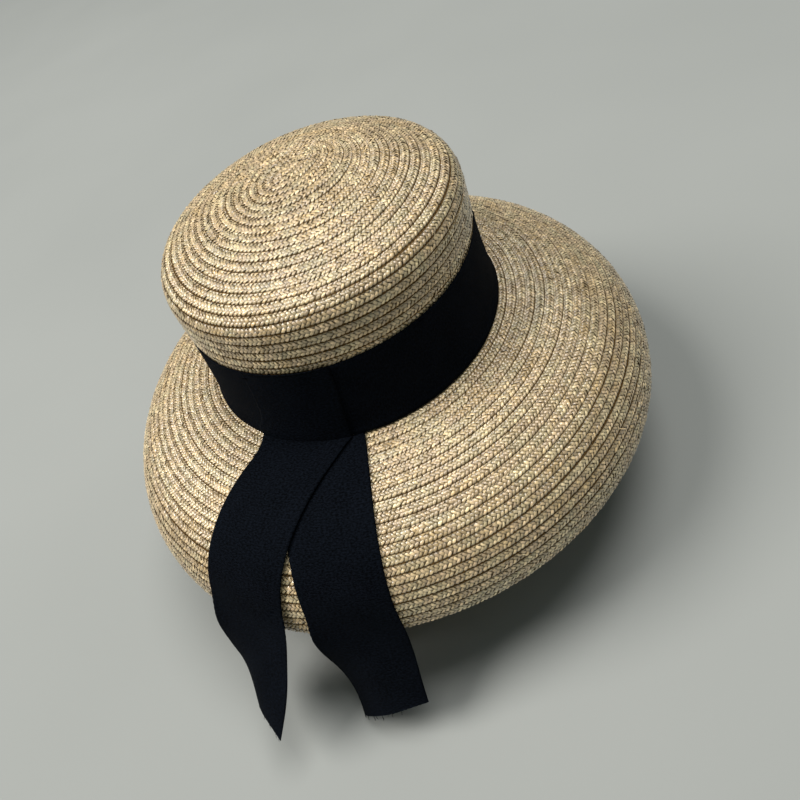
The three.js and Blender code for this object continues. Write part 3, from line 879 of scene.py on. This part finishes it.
def fall_surface(across, along):
    """Wrap and left tail as one cloth: along is negative on the wall and positive on the brim. Its
    left edge spreads a little where it turns from the one to the other."""
    spread = 0.36 * np.exp(-(((along + 2) / 10) ** 2)) * smoothstep(along, -40, -4)
    across = across * (1 + spread * (across > 0))
    wall = wrap_surface(across, np.minimum(along, -0.5) + FALL)
    brim = tail_surface(LEFT_TAIL)(across, np.maximum(along, 0.5))
    share = smoothstep(along, -8, 9)[..., None]
    return wall * (1 - share) + brim * share


def shifted(surface, aside):
    return lambda across, along: surface(across + aside, along)


def curled(surface, start, end, bow):
    """The surface with its edges bending back, more and more towards the end of the ribbon."""
    def bowed(along):
        return np.maximum(bow * smoothstep(along, start, end), 1e-5)

    def narrowed(across, along):
        return surface(np.sin(across * bowed(along)) / bowed(along), along)

    def back(across, along):
        return -(1 - np.cos(across * bowed(along))) / bowed(along)
    return with_ripple(narrowed, back)


def hanging_ripple(tail, size, phase):
    """Soft waves that grow from the brim's edge to the end of a tail."""
    def ripple(across, along):
        grow = smoothstep(along, tail["leaves"] - 30, tail["right_end"])
        wave = np.sin(along / 11.0 + across / 17.0 + phase) + 0.6 * np.sin(along / 19.0 - across / 9.0)
        return size * grow * wave
    return ripple


def end_cut(tail, fray=0.12):
    """The slanted cut at the end of a tail, a little uneven where threads have come out."""
    def end(across):
        share = across / TAIL_WIDTH + 0.5
        straight = tail["right_end"] + (tail["left_end"] - tail["right_end"]) * share
        return straight + fray * np.sin(across * 2.3) + fray * 0.7 * np.sin(across * 5.1 + 1)
    return end


def frame_point(points):
    return tuple(float(v) for v in np.asarray(points, float).reshape(3) / 1000 + OPENING)


def bend_over(piece, surface, reach):
    """Works out where a tail lies at the lengths that reach gives, without using it, and bakes the
    piece's transform into its mesh.
    """
    ends = (surface(np.zeros(1), np.array([float(length)])) for length in reach)
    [frame_point(end) for end in ends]
    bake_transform(piece)


def add_tail(side, tail, surface, start, join, rows, lift, swing, *nodes):
    """One tail as two pieces that meet at a length called join: the upper one from start, the lower
    one to the slanted cut, where threads have frayed out."""
    end = end_cut(tail)
    upper = cloth_sheet(surface, TAIL_WIDTH, level(start), level(join), 45, rows[0], TAIL_CLOTH,
                        (True, False))
    piece = add_cloth(f"tail_{side}_upper", upper, ribbon, "ribbon", None, *nodes)
    bend_over(piece, surface, lift)
    lower = cloth_sheet(surface, TAIL_WIDTH, level(join), end, 45, rows[1], TAIL_CLOTH,
                        (False, True))
    piece = add_cloth(f"tail_{side}_lower", lower, ribbon, "ribbon", None, f"tail_{side}_end")
    bend_over(piece, surface, swing)
    add_frayed_threads(f"{side}_frayed_threads", surface, end, f"{side}_tail_end")


def add_left_tail():
    surface = shifted(fall_surface, LEFT_ASIDE)
    surface = with_ripple(eased(surface, 66), hanging_ripple(LEFT_TAIL, 1.1, 0.4))
    surface = curled(surface, 105, 175, 0.019)
    lift, swing = (LEFT_TAIL[place] - CUT_GAP / 2 for place in ("start", "bend"))
    add_tail("left", LEFT_TAIL, surface, -FALL, LEFT_JOIN, (90, 96), (lift - 6, lift + 8),
             (swing - 9, swing + 9), "band_wrap", "tail_left")


def add_right_tail():
    surface = shifted(tail_surface(RIGHT_TAIL), RIGHT_ASIDE)
    surface = with_ripple(eased(surface, 70), hanging_ripple(RIGHT_TAIL, 1.0, 2.0))
    surface = curled(surface, 110, 170, 0.025)
    lift, swing = HELD - CUT_GAP / 2, RIGHT_TAIL["bend"] - CUT_GAP / 2
    add_tail("right", RIGHT_TAIL, surface, RIGHT_START, RIGHT_JOIN, (70, 76), (lift - 7, lift + 7),
             (swing - 4, swing + 12), "tail_right_root", "tail_right")


def add_frayed_threads(name, surface, end, body):
    """Warp threads that have come out of the cut end of a tail."""
    parts = []
    for across in rng.uniform(-0.48, 0.48, FRAYED_THREADS) * TAIL_WIDTH:
        root = float(end(np.array(across))) - 1.0
        length = rng.uniform(1.5, 4.0)
        share = np.linspace(0, 1, 7)
        aside = across + rng.normal(0, 0.8) * share**2
        path = surface(np.clip(aside, -TAIL_WIDTH / 2, TAIL_WIDTH / 2), root + length * share)
        path = path + rng.normal(0, 0.5, 3) * (share**2)[:, None]
        parts.append(tube(path, 0.11, 5))
    make_piece(name, joined(parts), black_thread, body)


# ---- Inside the crown, wire and thread ----

def inside_radius(z):
    return wall_radius(z) - PINCH - STRAW


def add_sweatband():
    def surface(across, along):
        z = 0.5 + SWEATBAND_HEIGHT / 2 + across
        angle = along / BASE_RADIUS
        loose = 0.15 * np.sin(9 * angle)
        return on_oval(inside_radius(z) - GAP - CLOTH / 2 + loose, -angle, z)
    around = 2 * math.pi * BASE_RADIUS
    sheet = cloth_sheet(surface, SWEATBAND_HEIGHT - 0.5, level(0), level(around), 11, 241, 0.6)
    add_cloth("sweatband_tape", sheet, cotton, "cotton", "hat", "sweatband")


def add_label():
    def surface(across, along):
        z = LABEL["bottom"] + along
        radius = inside_radius(z) - 2 * GAP - CLOTH - 0.25
        return on_oval(radius, math.radians(LABEL["angle"]) + across / radius, z)
    sheet = cloth_sheet(surface, LABEL["width"], level(0), level(LABEL["height"]), 13, 7, 0.4)
    add_cloth("label_patch", sheet, label_cloth, "label_cloth", "hat", "blank_label")


def stitch(centre, direction, length, radius, lift):
    """A short thread that leaves the cloth, runs along direction and goes in again."""
    share = np.linspace(-1, 1, 7)[:, None]
    outward = np.array([centre[0], centre[1], 0.0]) / math.hypot(centre[0], centre[1]) * lift
    path = centre + direction * share * length / 2 + outward * (1 - share**4)
    return tube(path, radius, 6)


def level_direction(angle):
    return np.array([-math.sin(angle), math.cos(angle), 0.0])


def stitch_row(places, length, radius, lift):
    parts = []
    for radius_here, angle, z in places:
        centre = on_oval(np.array(float(radius_here)), angle, np.array(float(z)))
        parts.append(stitch(centre, level_direction(angle), length, radius, lift))
    return joined(parts)


def add_threads(cloth, degrees, z, radius):
    """Single stitches that hold the band or its wrap, near the top edge."""
    for number, angle in enumerate(degrees, 1):
        made = stitch_row([(radius - 0.1, math.radians(angle), z)], 3.6, 0.22, 0.25)
        make_piece(f"{cloth}_thread_{number}", made, black_thread, "hat",
                   [f"{cloth}_stitch_{number}"])


def add_stitches():
    z = RIBBON_TOP - 3
    add_threads("band", (0, 90, 180, 305), z, wall_radius(z))
    z = RIBBON_TOP - 4
    add_threads("wrap", (239.5, 261.5), z, wall_radius(z) + GAP + CLOTH)
    z, count = 2.6, 140
    seam = [(inside_radius(z) - GAP - CLOTH, 2 * math.pi * i / count, z) for i in range(count)]
    make_piece("sweatband_seam", stitch_row(seam, 2.6, 0.2, -0.2), pale_thread, "hat")
    corners = [(inside_radius(z) - 2 * GAP - CLOTH - 0.45, math.radians(LABEL["angle"] + turn), z)
               for turn in (-9.6, 9.6) for z in (9.2, 18.8)]
    make_piece("label_stitches", stitch_row(corners, 1.8, 0.15, -0.15), pale_thread, "hat")


def smooth_path(points, steps):
    """A Catmull-Rom line through the points."""
    points = np.asarray(points, float)
    ends = np.concatenate([[2 * points[0] - points[1]], points, [2 * points[-1] - points[-2]]])
    share = np.linspace(0, len(points) - 1, steps)
    index = np.minimum(share.astype(int), len(points) - 2)
    t = (share - index)[:, None]
    p0, p1, p2, p3 = (ends[index + k] for k in range(4))
    return 0.5 * (2 * p1 + (p2 - p0) * t + (2 * p0 - 5 * p1 + 4 * p2 - p3) * t**2
                  + (3 * p1 - p0 - 3 * p2 + p3) * t**3)


def twisted(path, radius, plies, pitch, sides):
    """Plies of thread wound round a path."""
    step = np.linalg.norm(np.diff(path, axis=0), axis=1)
    turn = np.concatenate([[0], np.cumsum(step)]) * 2 * np.pi / pitch
    ahead = unit(np.gradient(path, axis=0))
    side = unit(np.cross(ahead, (0.05, 0.1, 1.0)))
    other = np.cross(ahead, side)
    parts = []
    for ply in range(plies):
        phase = turn + 2 * np.pi * ply / plies
        wound = path + radius * (side * np.cos(phase)[:, None] + other * np.sin(phase)[:, None])
        parts.append(tube(wound, radius * 1.02, sides))
    return joined(parts)


def cord_path():
    height = SWEATBAND_HEIGHT + 1.8
    radius = inside_radius(height) - GAP - 1.2
    opening = math.radians(7)
    hanging = [(CORD_SPREAD, ENDS_Y, z) for z in (3, 14, 24)] + [(CORD_SPREAD + 1, ENDS_Y - 1, 28)]
    turn = np.linspace(opening, 2 * math.pi - opening, 25) - math.pi / 2
    ring = on_oval(np.full(25, float(radius)), turn, np.full(25, height))
    back = [(-x, y, z) for x, y, z in reversed(hanging)]
    return np.concatenate([hanging, ring, back])


def add_drawcord():
    path = smooth_path(cord_path(), 2200)
    made = twisted(path, 0.42, 2, 3.0, 6)
    make_piece("drawcord", made, pale_thread, "hat", ["size_cord"])


def turned_quads(profile, sides):
    """A closed profile of (radius, height) turned about Z."""
    turn = np.linspace(0, 2 * np.pi, sides, endpoint=False)
    profile = np.asarray(profile, float)
    radius, height = profile[:, 0][:, None], profile[:, 1][:, None]
    points = np.stack(np.broadcast_arrays(radius * np.cos(turn), radius * np.sin(turn), height), -1)
    return points.reshape(-1, 3), grid_quads(len(profile), sides, True, True)


def add_bead():
    hole, height, edge = CORD_SPREAD + 1.0, BEAD["height"], BEAD["edge"]
    turn = np.linspace(-math.pi / 2, math.pi / 2, 13)
    barrel = [(BEAD["radius"] - edge + edge * math.cos(t), height / 2 * (1 + math.sin(t)))
              for t in turn]
    bore = [(hole, height - 0.3), (hole, 0.3)]
    points, quads = turned_quads(barrel + bore, 40)
    points += (0, ENDS_Y, BEAD["bottom"])
    make_piece("bead", (points, quads), beech, "bead", ["cord_bead"])


# Degrees round the hat along the joiner, and its radius there as a share: it is crimped once
JOINER = np.array([(174.2, 1), (174.3, 1), (175.4, 1), (175.6, 0.86), (176.2, 0.86), (176.4, 1),
                   (177.6, 1), (178.2, 1), (178.3, 1)])


def add_brim_wire():
    joiner_radius = WIRE_RADIUS + GAP + 0.4
    depth = STRAW + GAP + joiner_radius
    length = WIRE_SHARE * BRIM_LENGTH
    angle = np.linspace(0, 2 * np.pi, 360, endpoint=False)
    path = brim_point(np.full(len(angle), length), angle, -depth)
    make_piece("covered_wire", tube(path, WIRE_RADIUS, 10, closed=True), pale_thread,
               "hat", ["brim_wire"])
    path = brim_point(np.full(len(JOINER), length), np.radians(JOINER[:, 0]), -depth)
    made = tube(path, JOINER[:, 1] * joiner_radius, 16)
    make_piece("crimped_joiner", made, steel, "hat", ["wire_joiner"])


# ---- Stage ----

CAMERA_PLACE = np.array([94.386, -384.520, 291.786])
CAMERA_BACK = Vector((0.164775, -0.711413, 0.683184))
CAMERA_ROLL = math.radians(24.114)
CAMERA_FIELD = 52.79  # degrees
FLOOR_RADIUS, FLOOR_HEIGHT = 6.0, -0.004  # metres, as for the lights
LIGHT_SIZE = 2.7
LIGHT_TARGET = Vector((0, 0, 0.15))
WINDOW = dict(place=(-2.70, -0.35, 3.78), power=200, colour=(1.0, 0.965, 0.925))
CEILING = dict(place=(0.90, 0.50, 4.43), power=122, colour=(1.0, 0.975, 0.95))
ROOM_LIGHT = (0.142, 0.166, 0.164)
WALL_COLOUR = (0.50, 0.52, 0.53)
TO_MIN, TO_MAX = 9, 10  # numbers of a Map Range node's inputs for a vector's new range


def add_camera():
    data = bpy.data.cameras.new("camera")
    data.sensor_width = 36
    data.lens = 18 / math.tan(math.radians(CAMERA_FIELD / 2))
    data.clip_start, data.clip_end = 0.01, 20
    camera = bpy.data.objects.new("camera", data)
    bpy.context.scene.collection.objects.link(camera)
    back = CAMERA_BACK.normalized()
    right = Vector((0, 0, 1)).cross(back).normalized()
    up = back.cross(right)
    x = math.cos(CAMERA_ROLL) * right - math.sin(CAMERA_ROLL) * up
    y = math.sin(CAMERA_ROLL) * right + math.cos(CAMERA_ROLL) * up
    turn = Matrix((x, y, back)).transposed().to_4x4()
    camera.matrix_world = Matrix.Translation(frame_point(CAMERA_PLACE)) @ turn
    bpy.context.scene.camera = camera


def add_light(name, place, power, colour):
    data = bpy.data.lights.new(name, "AREA")
    data.shape = "DISK"
    data.size = LIGHT_SIZE
    data.energy = power
    data.color = colour
    lamp = bpy.data.objects.new(name, data)
    bpy.context.scene.collection.objects.link(lamp)
    lamp.location = place
    lamp.rotation_mode = "QUATERNION"
    lamp.rotation_quaternion = (LIGHT_TARGET - Vector(place)).to_track_quat("-Z", "Y")


def add_room():
    """Faint light from all round, which the camera sees as a pale wall."""
    world = bpy.data.worlds.new("room")
    world.use_nodes = True
    tree = world.node_tree
    rays = tree.nodes.new("ShaderNodeLightPath")
    colour = tree.nodes.new("ShaderNodeMapRange")
    colour.data_type = "FLOAT_VECTOR"
    colour.inputs[TO_MIN].default_value = ROOM_LIGHT
    colour.inputs[TO_MAX].default_value = WALL_COLOUR
    tree.links.new(rays.outputs["Is Camera Ray"], colour.inputs["Vector"])
    tree.links.new(colour.outputs["Vector"], tree.nodes["Background"].inputs["Color"])
    bpy.context.scene.world = world


def add_stage():
    bpy.ops.mesh.primitive_circle_add(vertices=64, radius=FLOOR_RADIUS, fill_type="NGON",
                                      location=(0, 0, FLOOR_HEIGHT))
    floor = bpy.context.object
    floor.name = "floor"
    floor.data.materials.append(pale_floor)
    add_room()
    add_light("window", **WINDOW)
    add_light("ceiling", **CEILING)
    bpy.context.scene.view_settings.view_transform = "Standard"


add_straw()
add_hat_band()
add_left_tail()
add_right_tail()
add_sweatband()
add_label()
add_stitches()
add_drawcord()
add_bead()
add_brim_wire()
add_stage()
add_camera()
